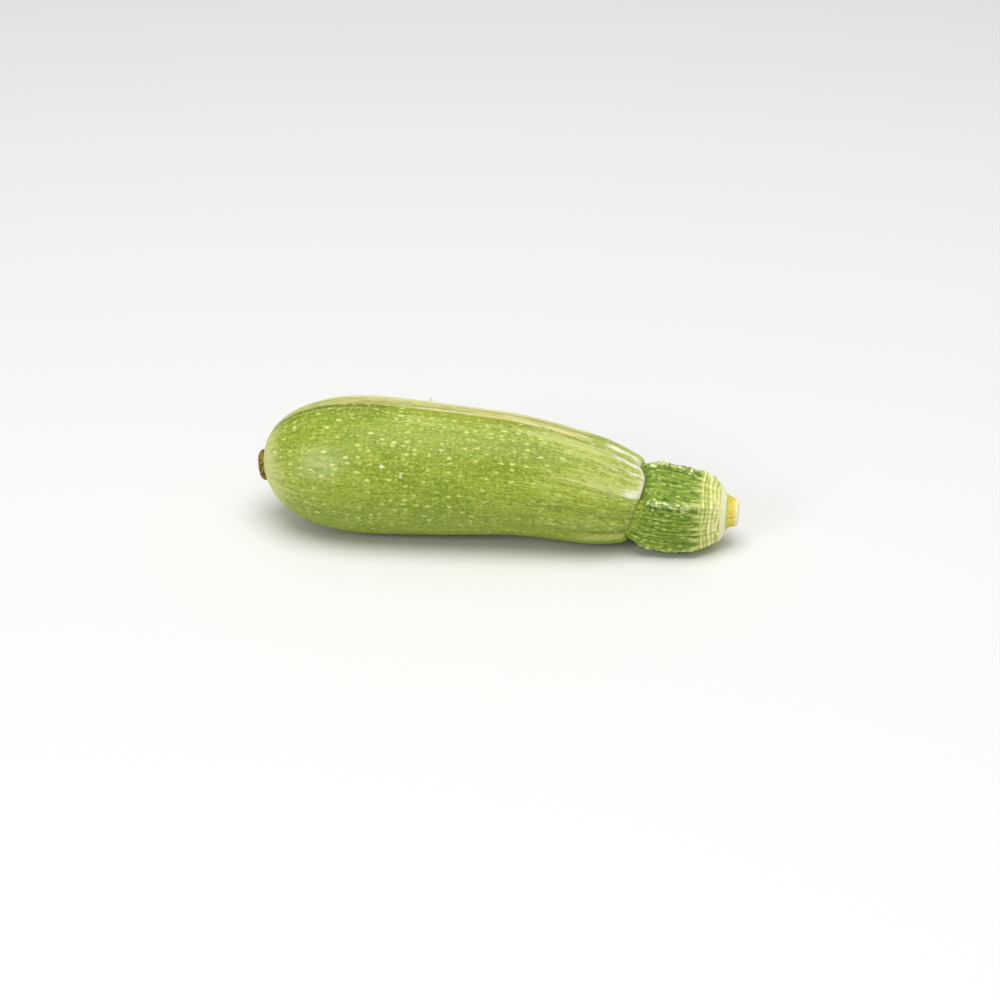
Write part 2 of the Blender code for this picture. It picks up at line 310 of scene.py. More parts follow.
# Skin coordinates. flow is the way along the outline, then round a circle of one size, so that streaks run from
# end to end without a seam. unrolled lays the skin flat, once with its seam below and once with it on top.
FLOW_RADIUS = 0.022
path_on_all = path[:, None] + 0.0 * a
flow = np.stack((path_on_all, FLOW_RADIUS * np.cos(a) + 0.0 * s, FLOW_RADIUS * np.sin(a) + 0.0 * s), axis=-1)
seam_below = FLOW_RADIUS * np.angle(np.exp(1j * (a - 0.5 * math.pi))) + 0.0 * s
seam_on_top = FLOW_RADIUS * np.angle(np.exp(1j * (a + 0.5 * math.pi))) + 0.0 * s
fruit = closed_skin(
    "marrow_fruit", fruit_points,
    flow=flow,
    unrolled=np.stack((path_on_all, seam_below, seam_on_top), axis=-1),
    shade=three(pale, top_line, strip),
    wear=three(np.minimum(white, 1.0), np.minimum(greener_and_shaded, 1.0), neck_line),
    lay=three(count + 1.0, np.abs(from_ridge), np.abs(from_middle)),
    touch=three(painted_sheen, low_edge, scar_ring),
    fleck_share=three(np.clip(vigour, 0.3, 1.0), 0.0, 0.0),
)


def fill(tree, node, inputs):
    """Sets sockets, by name or number: another node's output is linked, a value or opaque colour put in."""
    for socket, value in inputs.items():
        if isinstance(value, bpy.types.NodeSocket):
            tree.links.new(value, node.inputs[socket])
        elif node.inputs[socket].type == "RGBA":
            node.inputs[socket].default_value = (*value, 1.0)
        else:
            node.inputs[socket].default_value = value
    return node


def add_node(tree, kind, inputs=None, **options):
    """Adds a shader node of this kind with its sockets and options."""
    made = tree.nodes.new("ShaderNode" + kind)
    for option, value in options.items():
        setattr(made, option, value)
    return fill(tree, made, inputs or {})


def maths(tree, operation, first, second=0.0):
    return add_node(tree, "Math", {0: first, 1: second}, operation=operation).outputs[0]


def times(tree, first, second):
    return maths(tree, "MULTIPLY", first, second)


def plus(tree, first, second):
    return maths(tree, "ADD", first, second)


def apart(tree, value, centre):
    """How far the value is from the centre, either way."""
    return maths(tree, "ABSOLUTE", maths(tree, "SUBTRACT", value, centre))


def laid_over(tree, share, below, above):
    """The colour above laid over the colour below by a share."""
    sockets = {0: share, 6: below, 7: above}
    return add_node(tree, "Mix", sockets, data_type="RGBA").outputs[2]


def ramped(tree, value, start, end, low=0.0, high=1.0):
    """low up to start, high from end, and a smooth S between."""
    sockets = {"Value": value, "From Min": start, "From Max": end, "To Min": low, "To Max": high}
    return add_node(tree, "MapRange", sockets, interpolation_type="SMOOTHSTEP").outputs[0]


def new_group(name, inputs, output):
    """A shader node group with these named sockets, the sockets that it is given and the one that it puts out."""
    tree = bpy.data.node_groups.new(name, "ShaderNodeTree")
    for label, kind, value in inputs:
        socket = tree.interface.new_socket(label, in_out="INPUT", socket_type="NodeSocket" + kind)
        if value is not None:
            socket.default_value = value
    tree.interface.new_socket(output, in_out="OUTPUT", socket_type="NodeSocketFloat")
    return tree, tree.nodes.new("NodeGroupInput").outputs, tree.nodes.new("NodeGroupOutput").inputs[output]


def in_cells_of(tree, place, length, width):
    """A place counted in cells of this length along the piece and this width across it."""
    cell = add_node(tree, "CombineXYZ", {0: length, 1: width, 2: width}).outputs[0]
    return add_node(tree, "VectorMath", {0: place, 1: cell}, operation="DIVIDE").outputs[0]


# Flecks: one in each cell of a flat random honeycomb, drawn out along the piece, ragged, and missing from some
fleck_tree, given, fleck_mask = new_group(
    "flecks",
    (("Place", "Vector", None), ("Spacing", "Float", 0.003), ("Stretch", "Float", 1.5),
     ("Size", "Float", 0.25), ("Amount", "Float", 0.7), ("Ragged", "Float", 0.3)),
    "Mask",
)
long_cell = times(fleck_tree, given["Spacing"], given["Stretch"])
in_cells = in_cells_of(fleck_tree, given["Place"], long_cell, given["Spacing"])
wobble = add_node(fleck_tree, "TexNoise", {"Vector": in_cells, "Scale": 2.6, "Detail": 2.0}).outputs["Color"]
centred = add_node(fleck_tree, "VectorMath", {0: wobble, 1: (0.5, 0.5, 0.5)}, operation="SUBTRACT").outputs[0]
pushed = add_node(fleck_tree, "VectorMath", {0: centred, "Scale": given["Ragged"]}, operation="SCALE").outputs[0]
moved = add_node(fleck_tree, "VectorMath", {0: in_cells, 1: pushed}, operation="ADD").outputs[0]
sockets = {"Vector": moved, "Scale": 1.0, "Randomness": 0.88}
cells = add_node(fleck_tree, "TexVoronoi", sockets, voronoi_dimensions="2D").outputs
chance, second_chance = add_node(fleck_tree, "SeparateColor", {0: cells["Color"]}).outputs[:2]
present = ramped(fleck_tree, chance, maths(fleck_tree, "SUBTRACT", 1.0, given["Amount"]), 1.0)
edge = times(fleck_tree, given["Size"], ramped(fleck_tree, present, 0.0, 0.5))
mask = ramped(fleck_tree, cells["Distance"], times(fleck_tree, edge, 0.58), edge, 1.0, 0.0)
shown = maths(fleck_tree, "GREATER_THAN", present, 0.001)
strength = times(fleck_tree, shown, ramped(fleck_tree, second_chance, 0.0, 0.9, 0.35, 1.0))
fleck_tree.links.new(times(fleck_tree, mask, strength), fleck_mask)

# Streaks: soft noise drawn out along the piece, about 0.5 in the middle of its range
streak_tree, given, streak_value = new_group(
    "streaks",
    (("Place", "Vector", None), ("Width", "Float", 0.001), ("Stretch", "Float", 12.0), ("Detail", "Float", 3.0)),
    "Value",
)
long_way = times(streak_tree, given["Width"], given["Stretch"])
drawn = in_cells_of(streak_tree, given["Place"], long_way, given["Width"])
noise = add_node(streak_tree, "TexNoise", {"Vector": drawn, "Scale": 1.0, "Detail": given["Detail"]}).outputs[0]
streak_tree.links.new(noise, streak_value)


def place_group(tree, group, inputs):
    placed = tree.nodes.new("ShaderNodeGroup")
    placed.node_tree = group
    return fill(tree, placed, inputs).outputs[0]


def flecks(tree, place, spacing, stretch, size, amount, ragged):
    """The flecks group: spacing in metres, size in cells, and amount and ragged from 0 to 1."""
    return place_group(tree, fleck_tree, {"Place": place, "Spacing": spacing, "Stretch": stretch, "Size": size,
                                          "Amount": amount, "Ragged": ragged})


def streaks(tree, place, width, stretch, detail=3.0):
    """The streaks group: width in metres, and stretch as many times that along the piece."""
    return place_group(tree, streak_tree, {"Place": place, "Width": width, "Stretch": stretch, "Detail": detail})


def new_skin(name, roughness, specular, subsurface=0.0):
    """A material, its tree and its own Principled shader."""
    material = bpy.data.materials.new(name)
    material.use_nodes = True
    tree = material.node_tree
    shader = fill(tree, tree.nodes["Principled BSDF"], {
        "Roughness": roughness, "Specular IOR Level": specular, "Subsurface Weight": subsurface,
        "Subsurface Radius": (0.8, 1.0, 0.3), "Subsurface Scale": 0.0025,
    })
    return material, tree, shader


def field(tree, name):
    return add_node(tree, "Attribute", attribute_name=name).outputs["Vector"]


def parts(tree, vector):
    """The three numbers of a vector."""
    return add_node(tree, "SeparateXYZ", {0: vector}).outputs


# Greens of the skin's ground and streaks, and of the pale parts laid over them
DEEP_GREEN, LEAF_GREEN = (0.212, 0.304, 0.012), (0.282, 0.362, 0.021)
YELLOW_GREEN, SHADED_GREEN = (0.450, 0.485, 0.058), (0.120, 0.215, 0.020)
WIDE_STREAK, PALE_STREAK = (0.400, 0.450, 0.062), (0.410, 0.475, 0.068)
DARK_STREAK, SHEEN_WHITE = (0.150, 0.222, 0.008), (0.500, 0.560, 0.250)
PALE_GRAIN, DARK_GRAIN = (0.400, 0.475, 0.068), (0.145, 0.220, 0.009)
PALE_NECK, PALE_EDGE = (0.640, 0.670, 0.240), (0.620, 0.640, 0.190)

# Colours of the strip behind the top crease, and of the lines in the creases
KHAKI, GREEN_KHAKI = (0.370, 0.390, 0.095), (0.430, 0.460, 0.130)
STRAW, CREAM = (0.600, 0.560, 0.200), (0.880, 0.870, 0.400)
EDGE_CREAM, CREAM_STREAK = (0.760, 0.720, 0.430), (0.780, 0.770, 0.350)
TAN_STREAK, DARK_OLIVE = (0.330, 0.270, 0.060), (0.130, 0.180, 0.006)
GOLDEN_OLIVE, NECK_OLIVE_AND_SHADE = (0.310, 0.345, 0.008), (0.150, 0.195, 0.006)

# Colours of the flecks, pores and painted glints, and of the waxy white and painted highlights
SMALL_FLECK, LARGE_FLECK = (0.530, 0.590, 0.130), (0.680, 0.720, 0.215)
PORE = (0.125, 0.205, 0.010)
GLINT_WHITE, WAX_AND_HIGHLIGHT_WHITE = (0.800, 0.820, 0.700), (0.800, 0.810, 0.580)

material, tree, shader = new_skin("flecked_green_skin", 0.48, 0.36, 0.10)
flow_at = field(tree, "flow")
pale_share, top_line_share, strip_share = parts(tree, field(tree, "shade"))
white_share, green_and_shade_share, neck_line_share = parts(tree, field(tree, "wear"))
way, seam_below_at, seam_on_top_at = parts(tree, field(tree, "unrolled"))
ridge_number, off_ridge, off_middle = parts(tree, field(tree, "lay"))
sheen_share, low_edge_share, scar_ring_share = parts(tree, field(tree, "touch"))

# Ground colour: broad patches of deeper and yellower green, then streaks of two widths and a fine grain
patches = streaks(tree, flow_at, 0.009, 2.4, detail=2.0)
wide = streaks(tree, flow_at, 0.0015, 14.0)
fine = streaks(tree, flow_at, 0.0006, 9.0)
grain = streaks(tree, flow_at, 0.0007, 1.8, detail=2.0)
colour = laid_over(tree, ramped(tree, patches, 0.38, 0.62), DEEP_GREEN, LEAF_GREEN)
colour = laid_over(tree, ramped(tree, pale_share, 0.0, 1.0, 0.0, 0.70), colour, YELLOW_GREEN)
colour = laid_over(tree, ramped(tree, wide, 0.48, 0.72, 0.0, 0.45), colour, WIDE_STREAK)
colour = laid_over(tree, ramped(tree, fine, 0.50, 0.66, 0.0, 0.42), colour, PALE_STREAK)
colour = laid_over(tree, ramped(tree, fine, 0.50, 0.32, 0.0, 0.54), colour, DARK_STREAK)
colour = laid_over(tree, ramped(tree, grain, 0.49, 0.66, 0.0, 0.45), colour, PALE_GRAIN)
colour = laid_over(tree, ramped(tree, grain, 0.48, 0.34, 0.0, 0.52), colour, DARK_GRAIN)
# Greener rim of the lower front lobe, and painted shade over the underside
colour = laid_over(tree, times(tree, green_and_shade_share, 0.45), colour, SHADED_GREEN)
# Painted sheen: a soft whitish highlight on the front near the blossom end
colour = laid_over(tree, times(tree, sheen_share, 0.62), colour, SHEEN_WHITE)

# Pale parts, broken into streaks and dots where they fade out
mixed = plus(tree, times(tree, wide, 0.8), times(tree, plus(tree, fine, grain), 0.4))
broken = ramped(tree, plus(tree, pale_share, mixed), 1.05, 1.68)
broken = times(tree, broken, ramped(tree, pale_share, 0.0, 0.25))
colour = laid_over(tree, times(tree, broken, 0.80), colour, PALE_NECK)

# The strip behind the top crease: khaki, greener at the blossom end, cream towards the outline, with cream and
# tan streaks, and from far_on a cream line along its edge
khaki = laid_over(tree, ramped(tree, wide, 0.36, 0.60), KHAKI, STRAW)
khaki = laid_over(tree, ramped(tree, way, 0.066, 0.040, 0.0, 0.6), khaki, GREEN_KHAKI)
khaki = laid_over(tree, ramped(tree, ridge_number, 1.83, 1.72, 0.0, 0.85), khaki, CREAM)
far_on = ramped(tree, way, 0.064, 0.076)
edge_line = times(tree, ramped(tree, apart(tree, ridge_number, 1.945), 0.008, 0.036, 0.58, 0.0), far_on)
khaki = laid_over(tree, edge_line, khaki, EDGE_CREAM)
khaki = laid_over(tree, ramped(tree, fine, 0.52, 0.66, 0.0, 0.7), khaki, CREAM_STREAK)
khaki = laid_over(tree, ramped(tree, fine, 0.44, 0.32, 0.0, 0.6), khaki, TAN_STREAK)
streaky = ramped(tree, plus(tree, strip_share, times(tree, wide, 0.9)), 0.70, 1.05)
streaky = times(tree, streaky, ramped(tree, strip_share, 0.0, 0.2))
colour = laid_over(tree, times(tree, streaky, 0.90), colour, khaki)

# Olive lines, wandering a little: two along the top crease, and one in each crease of the neck, partly painted
# shade in the creases. The number of the ridge is 1 more than its count, so that it never falls below 0: the top
# crease is at 2.
ridge_at = plus(tree, ridge_number, times(tree, patches, 0.04))
dark_line = ramped(tree, apart(tree, ridge_at, 2.010), 0.016, 0.052, 1.0, 0.0)
second_line = ramped(tree, apart(tree, ridge_at, 2.120), 0.008, 0.034, 0.72, 0.0)
crease_line = ramped(tree, plus(tree, off_ridge, times(tree, fine, 0.03)), 0.020, 0.056, 1.0, 0.0)
middle_line = ramped(tree, plus(tree, off_middle, times(tree, fine, 0.03)), 0.016, 0.042, 0.6, 0.0)
along_top = times(tree, top_line_share, plus(tree, dark_line, second_line))
along_neck = times(tree, neck_line_share, plus(tree, crease_line, middle_line))
unbroken = ramped(tree, wide, 0.25, 0.50, 0.50, 0.90)
top_olive = laid_over(tree, far_on, DARK_OLIVE, GOLDEN_OLIVE)
colour = laid_over(tree, times(tree, along_top, unbroken), colour, top_olive)
colour = laid_over(tree, times(tree, along_neck, unbroken), colour, NECK_OLIVE_AND_SHADE)
round_scar = times(tree, scar_ring_share, ramped(tree, fine, 0.40, 0.60, 0.3, 0.8))
cream_share = plus(tree, times(tree, low_edge_share, 0.75), round_scar)
colour = laid_over(tree, times(tree, cream_share, 0.80), colour, PALE_EDGE)

# Flecks of two sizes, faint in some places, and tiny dark pores between them. The flat skin whose seam is on top
# serves the underside, and a ragged border hides where the two meet.
UNDERSIDE, RAGGED_BORDER = -0.0155, 0.006
height = plus(tree, parts(tree, flow_at)[2], times(tree, grain, RAGGED_BORDER))
is_under = maths(tree, "LESS_THAN", height, UNDERSIDE)
unrolled_at = add_node(tree, "Mix", {0: is_under, 2: seam_below_at, 3: seam_on_top_at}).outputs[0]
skin_at = add_node(tree, "CombineXYZ", {0: way, 1: unrolled_at}).outputs[0]
large = flecks(tree, skin_at, spacing=0.0021, stretch=2.1, size=0.27, amount=0.82, ragged=0.55)
small = flecks(tree, skin_at, spacing=0.0012, stretch=1.7, size=0.33, amount=0.80, ragged=0.50)
pores = flecks(tree, skin_at, spacing=0.0016, stretch=1.5, size=0.26, amount=0.60, ragged=0.40)
fleck_share = parts(tree, field(tree, "fleck_share"))[0]
faint = times(tree, ramped(tree, patches, 0.66, 0.40, 0.60, 1.0), times(tree, fleck_share, 0.95))
off_strip = ramped(tree, strip_share, 0.0, 1.0, 1.0, 0.25)
off_pale = ramped(tree, pale_share, 0.10, 0.50, 0.60, 0.0)
small_share = times(tree, small, times(tree, fleck_share, 0.64))
colour = laid_over(tree, times(tree, times(tree, pores, off_pale), off_strip), colour, PORE)
colour = laid_over(tree, times(tree, small_share, off_strip), colour, SMALL_FLECK)
colour = laid_over(tree, times(tree, times(tree, large, faint), off_strip), colour, LARGE_FLECK)

# Two painted glints on the front, white specks each a small disc about its own place on the flat skin: station,
# turn and size
for glint_station, turn, size in ((0.0511, 153.6, 0.00082), (0.0585, 161.0, 0.00064)):
    glint = (float(np.interp(glint_station, station, path)), FLOW_RADIUS * math.radians(turn - 90.0), 0.0)
    away = add_node(tree, "VectorMath", {0: skin_at, 1: glint}, operation="DISTANCE").outputs["Value"]
    colour = laid_over(tree, ramped(tree, away, 0.4 * size, size, 0.80, 0.0), colour, GLINT_WHITE)

# Waxy white and painted highlights, drawn out in streaks
wax_and_highlight = ramped(tree, plus(tree, white_share, times(tree, fine, 1.6)), 1.00, 1.60)
colour = laid_over(tree, times(tree, wax_and_highlight, ramped(tree, white_share, 0.05, 0.3)), colour, WAX_AND_HIGHLIGHT_WHITE)

# Flecks stand up a little, streaks and grain only just
raised = plus(tree, plus(tree, times(tree, large, 0.5), times(tree, fine, 0.8)), times(tree, grain, 0.7))
bump = add_node(tree, "Bump", {"Height": raised, "Strength": 0.45, "Distance": 0.00020}).outputs[0]
dullness = ramped(tree, fine, 0.3, 0.7, 0.42, 0.56)
fill(tree, shader, {"Base Color": colour, "Normal": bump, "Roughness": dullness})
fruit.data.materials.append(material)

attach(fruit, "root")
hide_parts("fruit")


# Wart. A small pale nub of the same skin, grown on the strip: a blunt post whose foot is sunk into the fruit.

WART_STATION, WART_TURN = 0.0640, math.radians(63.0)
WART_RADIUS, WART_TOP, WART_FOOT = 0.00065, 0.0016, 0.0010
WART_SIDES, WART_RINGS = 32, 18
root_at = fruit_points[np.argmin(np.abs(station - WART_STATION)), np.argmin(np.abs(angle - WART_TURN))]
outward = np.array((0.0, math.cos(WART_TURN), math.sin(WART_TURN)))
across = np.array((0.0, -math.sin(WART_TURN), math.cos(WART_TURN)))

# A foot a tenth wider, a rounded top, and a little uneven all round
turns = np.linspace(0.0, math.pi / 2.0, WART_RINGS)
lift = np.concatenate(((-WART_FOOT, -0.8 * WART_FOOT), WART_TOP * np.sin(turns)))[:, None, None]
width = np.concatenate(((0.0, 1.1), np.cos(turns).clip(0.0) ** 0.45))[:, None] * WART_RADIUS
a = np.linspace(0.0, 2.0 * math.pi, WART_SIDES, endpoint=False)[None, :]
width = width * (1.0 + 0.07 * np.cos(3.0 * a) + 0.05 * np.cos(2.0 * a + 1.0))
wart_points = (root_at + lift * outward + (width * np.cos(a))[..., None] * across
               + (width * np.sin(a))[..., None] * np.array((1.0, 0.0, 0.0)))

# Pale and waxy all over: the first number of both fields
all_white = np.zeros(wart_points.shape) + (0.8, 0.0, 0.0)
wart = closed_skin("marrow_wart", wart_points, flow=wart_points - root_at, shade=all_white, wear=all_white)
wart.data.materials.append(material)

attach(wart, "root")


# Stem. The stalk that held the marrow to the plant: five ridges set with blunt bristle bases, furrowed flats
# between them, a pale ringed end where it joined the vine, and the short dry stub where it snapped.

# Distance from the seat, radius between the ridges
STEM_OUTLINE = (
    (0.0000, 0.0150), (0.0025, 0.0154), (0.0065, 0.0157), (0.0120, 0.0158), (0.0180, 0.0155),
    (0.0235, 0.0149), (0.0280, 0.0141), (0.0315, 0.0130), (0.0339, 0.0114), (0.0354, 0.0096),
    (0.0365, 0.0079), (0.0376, 0.0066), (0.0389, 0.0059), (0.0402, 0.0056), (0.0412, 0.0054),
    (0.0418, 0.0046),
)
SEAT_GAP, SEAT_DEPTH = 0.0001, 0.0125
RIDGE_RISE, RIDGE_SINK_AT_SEAT, RIDGE_SHARPNESS = 0.130, 0.035, 1.35
RIDGE_GROWN, RIDGE_FADES, RIDGE_GONE = 0.007, 0.0265, 0.0365
RIB_WIDTH, RIB_HEIGHT = 0.046, 0.0008

# Where the stub starts, and how far the stem follows the fruit's rim under the lower front lobe
STUB_START, RUN_ON = 0.0376, 0.0065

# How pale the crest of each ridge is, from scuffs and painted highlight, and how many bristle bases and rubbed
# places it has
RIDGE_SCUFFS_AND_LIGHT = (0.35, 1.0, 1.0, 0.35, 0.6)
BEADS, RUBS = 24, 12

# Each ring of the pale end: distance from the seat, and how strongly it stands out
RINGS = ((0.0264, 0.30), (0.0280, 0.65), (0.0294, 0.45), (0.0309, 1.0), (0.0325, 0.75), (0.0340, 1.0))
RINGS_START, RINGS_END, PALE_END_START = 0.0262, 0.0344, 0.0250

# Heights of its fine relief, and the ridge counts of the front lobe that hangs over it
FURROW, ROUGHNESS, RING_HEIGHT, FIBRE = 0.00012, 0.00006, 0.00016, 0.00007
OVERHANG, COLLAR, KNOB = 0.0006, 0.0012, 0.0010
FRONT_LOBE = (0.95, 1.95)
STEM_SIDES, STALK_RINGS, FACE_RINGS = 330, 270, 16
HAIR = 1e-9


def through(points, steps):
    """Catmull-Rom curve through the points, with its ends carried on straight: steps samples in each span."""
    p = np.array(points)
    p = np.concatenate(([2.0 * p[0] - p[1]], p, [2.0 * p[-1] - p[-2]]))
    u = np.linspace(0.0, len(points) - 1.0, steps * (len(points) - 1) + 1)
    i = np.minimum(u.astype(int), len(points) - 2)
    t = (u - i)[:, None]
    before, start, end, after = p[i], p[i + 1], p[i + 2], p[i + 3]
    curve = 2.0 * start + (end - before) * t + (2.0 * before - 5.0 * start + 4.0 * end - after) * t**2
    return 0.5 * (curve + (3.0 * start - before - 3.0 * end + after) * t**3)


def bumps(along, angle, seed, amount, span, width, height):
    """Random round bumps: for each, one bell along the piece times one round it, added as a matrix product.
    span is the stretch they lie in, width their (along, round) size and height their range."""
    rng = np.random.default_rng(seed)
    places = rng.uniform(*span, amount)
    turned = rng.uniform(0.0, 2.0 * math.pi, amount)
    heights = rng.uniform(*height, amount)
    sizes = rng.uniform(0.75, 1.3, amount)
    lengthwise = bell(along.ravel()[:, None] - places, width[0] * sizes)
    off = np.angle(np.exp(1j * (angle.ravel()[:, None] - turned)))
    return lengthwise @ (heights * bell(off, width[1] * sizes)).T


outline = through(STEM_OUTLINE, 40)
stalk_d, stalk_r = even_rings(outline[:, 0], outline[:, 1], STALK_RINGS)
face_in = np.linspace(1.0, 0.0, FACE_RINGS)[1:]
distance = np.concatenate((np.full(inward.shape, SEAT_GAP), np.maximum(stalk_d, SEAT_GAP),
                           np.full(face_in.shape, STEM_LENGTH)))
radius = np.concatenate((stalk_r[0] * inward[::-1], stalk_r, stalk_r[-1] * face_in))
path = way_along(distance, radius)
angle = np.linspace(0.0, 2.0 * math.pi, STEM_SIDES, endpoint=False)
d, r, a = distance[:, None], radius[:, None], angle[None, :]
s = FRUIT_LENGTH + d
count = ridge_count(s, a)
from_ridge = count - np.round(count)
between = np.abs(np.sin(math.pi * count))
which = np.round(count).astype(int) % RIDGES

# The ridges rise out of the seat, ridge 1 on top a little sooner than the rest, and die away at the rings
grown = smooth_step((d + 0.0015 * (which == 1)) / RIDGE_GROWN)
gone = smooth_step((d - RIDGE_FADES) / (RIDGE_GONE - RIDGE_FADES))
on_stalk = smooth_step(d / 0.002) * (1.0 - smooth_step((d - 0.0350) / 0.0016))
rise = ((RIDGE_RISE + RIDGE_SINK_AT_SEAT) * grown - RIDGE_SINK_AT_SEAT) * (1.0 - gone)
ridges = r * rise * (1.0 - between) ** RIDGE_SHARPNESS

# Each ridge carries a rib, uneven in height and set with bristle bases about every 1.3 mm
rng = np.random.default_rng(21)
rib = np.zeros(count.shape)
scuffs_and_light = np.zeros(count.shape)
for ridge in range(RIDGES):
    bases = np.cumsum(rng.uniform(0.0009, 0.0018, BEADS)) + rng.uniform(0.0, 0.001)
    beads = bell(distance[:, None] - bases, 0.00042) @ rng.uniform(0.00010, 0.00042, BEADS)
    uneven = 0.45 + 0.25 * np.sin(distance * rng.uniform(500.0, 900.0) + rng.uniform(0.0, 6.0))
    rib += (which == ridge) * (RIB_HEIGHT * uneven + beads)[:, None]
    rubbed = np.cumsum(rng.uniform(0.0022, 0.0040, RUBS))
    rubbing = bell(distance[:, None] - rubbed, rng.uniform(0.0008, 0.0018, RUBS)) @ rng.uniform(0.5, 1.2, RUBS)
    scuffs_and_light += (which == ridge) * RIDGE_SCUFFS_AND_LIGHT[ridge] * (0.30 + rubbing)[:, None]
rib = np.minimum(rib, 0.00085) * bell(from_ridge, RIB_WIDTH) * grown * (1.0 - smooth_step((d - 0.0295) / 0.004))

# Furrows between the ridges, scattered bristle bases on the flats, and the rings round the pale end
furrows = FURROW * (ripples(distance, angle, 31, (34, 66), 0.018) - 0.8) * on_stalk
rough = ROUGHNESS * (ripples(distance, angle, 32, (70, 130), 0.0024) - 0.5) * on_stalk
prickles = bumps(distance, angle, 33, 170, (0.002, 0.030), (0.00040, 0.027), (0.00008, 0.00022))
prickles *= smooth_step(np.abs(from_ridge) / 0.12) * on_stalk
one_ring = np.zeros(1)
ring_relief = np.zeros(count.shape)
for number, (ring, strength) in enumerate(RINGS):
    wander = 0.00015 * ripples(one_ring, angle, 60 + number, (1, 9), 1.0)[0]
    strength = strength * (0.85 + 0.30 * np.tanh(ripples(one_ring, angle, 70 + number, (3, 26), 1.0)[0]))
    ring_relief += strength * bell(d - ring - wander - 0.0007 * (1.0 - between), 0.00036 + 0.00014 * strength)
ring_zone = smooth_step((d - RINGS_START) / 0.002) * (1.0 - smooth_step((d - RINGS_END) / 0.001))
raised_rings = RING_HEIGHT * (ring_relief - 0.9) * ring_zone

# The stub's fibres, the hollow under the front lobe's rim, and the pale end's fuller lower edge and small knob
on_stub = smooth_step((d - STUB_START) / 0.0006)
fibres = FIBRE * (ripples(distance, angle, 36, (14, 40), 0.02) - 1.0) * on_stub
overhung = -OVERHANG * bell(d - 0.0004, 0.0014) * band(count, *FRONT_LOBE, 0.1)
collar = COLLAR * bell(d - 0.0352, 0.0017) * bell(a - math.radians(240.0), 0.65)
knob = KNOB * bell(d - 0.0318, 0.0008) * bell(count - 0.78, 0.050)
relief = ridges + rib + furrows + rough + prickles + raised_rings + fibres + overhung + collar + knob
r_formed = r + relief * np.clip(r / 0.004, 0.0, 1.0)

# The lower front lobe runs on into the stem without a step: there the stem starts at the fruit's own rim
fruit_angle = np.linspace(0.0, 2.0 * math.pi, FRUIT_SIDES, endpoint=False)
rim_here = np.interp(a, fruit_angle, rim_radii, period=2.0 * math.pi)
run_on = (1.0 - smooth_step(d / RUN_ON)) * band(count, 2.06, 2.96, LOBE_EDGE) * (r >= stalk_r[0] - HAIR)
r_formed += (rim_here - r_formed) * run_on

# The snapped face is uneven: sunk towards its middle and split by a few cracks
face_share = r / stalk_r[-1]
face = (distance >= STEM_LENGTH - HAIR)[:, None] * (1.0 - smooth_step(face_share - 0.02))
cracks = bell(ripples(one_ring, angle, 37, (2, 7), 1.0)[0], 0.16) * band(face_share, 0.20, 0.85, 0.2)
torn = ripples(radius, angle, 38, (3, 16), 0.0015)
sunk = face * (0.00045 * (1.0 - face_share) + 0.00008 * (1.0 + np.tanh(torn)) + 0.0004 * cracks)
reach = lobe_reach(s, r, a) * (1.0 - smooth_step(d / SEAT_DEPTH))
stem_points = about_the_axis(s + reach - sunk, r_formed, a)

# Scuffed crests and bristle bases with painted highlight on them and on the sunlit top facet, and the painted
# shade beneath each ridge
wavering = 0.02 * ripples(distance, angle, 41, (2, 6), 0.006)
crest_and_lit = bell(from_ridge + wavering, 0.062) * band(d, 0.004, 0.0275, 0.004) * np.clip(scuffs_and_light, 0.0, 1.0)
sunlit = 0.42 * band(count, 0.62, 1.02, 0.10) * band(d, 0.003, 0.0270, 0.004)
crest_and_lit = np.clip(np.maximum(crest_and_lit, sunlit) + 0.18 * prickles / 0.00018, 0.0, 1.0)
beneath = bell(from_ridge - 0.085, 0.036) * band(d, 0.003, 0.0265, 0.004) * np.clip(0.50 + 0.7 * scuffs_and_light, 0.0, 1.0)
near_ridge = bell(from_ridge, 0.17) * np.array((0.5, 1.0, 1.0, 0.5, 0.5))[which]
hollow = np.clip(0.5 - (furrows + rough) / 0.00027, 0.0, 1.0)

# The pale end with its ragged start and green rings, the stub, and the glowing edge of its snapped face
dashed = np.tanh(1.5 * ripples(distance, angle, 42, (14, 50), 0.02))
pale_end = smooth_step((d - PALE_END_START - 0.0034 * dashed) / 0.0070)
fewer_greens = 1.0 - 0.35 * smooth_step((d - 0.0285) / 0.004)
green_rings = smooth_step(1.15 - 1.6 * ring_relief) * ring_zone * fewer_greens + 0.8 * bell(d - 0.0374, 0.00035)
pale_rings = np.minimum(ring_relief, 1.0) * ring_zone
end_band = band(d, 0.0350, 0.0370, 0.0006)
edge_glow = np.minimum(bell(d - 0.0415, 0.0009) * smooth_step((face_share - 0.72) / 0.2), 1.0)

# Painted shade on the foot under the lobes, and the fruit's green where the lower front lobe has grown in
foot = bell(d, 0.0017) * band(count, *FRONT_LOBE, 0.1) + 0.30 * bell(d, 0.0007)
grown_in = (1.0 - smooth_step((d - 0.0005) / 0.0060)) * band(count, *LOW_LOBE, LOBE_EDGE)

UNROLLED_RADIUS = 0.016
path_on_all = path[:, None] + 0.0 * a
seam_below = UNROLLED_RADIUS * np.angle(np.exp(1j * (a - 0.5 * math.pi))) + 0.0 * s
stem = closed_skin(
    "marrow_stem", stem_points,
    flow=np.stack((path_on_all, r * np.cos(a), r * np.sin(a)), axis=-1),
    unrolled=np.stack((path_on_all, seam_below, 0.0 * (s + a)), axis=-1),
    shade=three(crest_and_lit, pale_end, green_rings),
    ending=three(on_stub, edge_glow, hollow),
    edges=three(foot, pale_rings, beneath),
    soft=three(grown_in, end_band, near_ridge),
)

